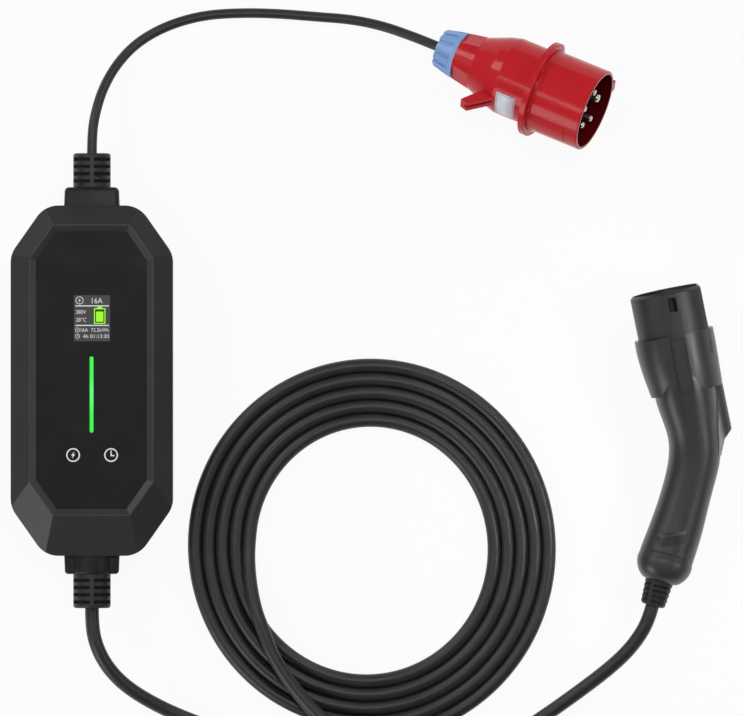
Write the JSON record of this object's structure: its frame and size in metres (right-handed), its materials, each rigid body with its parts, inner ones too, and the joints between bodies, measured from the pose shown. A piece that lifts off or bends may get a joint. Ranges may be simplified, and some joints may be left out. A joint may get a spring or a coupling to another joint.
{
  "type": "portable ev charger",
  "caption": "Portable car charger: a control box with display between a round industrial plug and a coiled cord with a vehicle connector.",
  "frame": {"origin": "under the middle of the control box, on its flat back", "axes": "+Z out of the front panel, +Y along the box towards the supply cord, +X across the box towards the coil"},
  "size_m": [0.5477, 0.5777, 0.0792],
  "materials": {
    "housing": "fine satin grain",
    "front_panel": "polished",
    "display": "polished",
    "light": "milky, lit from behind",
    "seal": "matte",
    "board": "lacquered",
    "component": "matte",
    "relay": "matte",
    "terminal": "matte",
    "screw": "plain",
    "gland": "satin",
    "sleeve": "satin",
    "cord": "satin",
    "plug_red": "satin gloss",
    "plug_nut": "satin",
    "plug_insert": "matte",
    "pin": "nickel plated",
    "connector": "satin",
    "nose": "satin",
    "contact": "silver plated"
  },
  "bodies": {
    "root": {"rear_cover": "housing", "front_cover": "housing", "cover_seal": "seal", "front_panel": "front_panel", "light_guide": "light", "display_module": "display", "status_leds": "light", "touch_pads": "contact", "display_board": "board", "main_board": "board", "cover_screws": "screw", "board_screws": "screw", "relays": "relay", "current_sensor": "component", "supply_module": "component", "board_link": "component", "input_terminals": "terminal", "output_terminals": "terminal", "terminal_screws": "screw", "supply_core": "cord", "charge_core": "cord", "cord_clamps": "component", "clamp_screws": "screw", "top_collar": "gland", "bottom_collar": "gland", "top_strain_relief": "sleeve", "bottom_strain_relief": "sleeve", "plug_gland_nut": "plug_nut", "plug_cord_seal": "seal", "plug_body": "plug_red", "plug_shroud": "plug_red", "plug_pin_carrier": "plug_insert", "plug_phase_pins": "pin", "plug_earth_pin": "pin", "connector_shell_upper": "connector", "connector_shell_lower": "connector", "connector_screws": "screw", "connector_nose": "nose", "contact_carrier": "nose", "power_sockets": "contact", "signal_sockets": "contact", "connector_tongue_upper": "connector", "connector_tongue_lower": "connector", "connector_rear_cap": "connector", "connector_strain_relief": "sleeve", "supply_cord": "cord", "charge_cord_lead": "cord", "charge_cord_coil": "cord", "charge_cord_tail": "cord"}
  },
  "joints": []
}
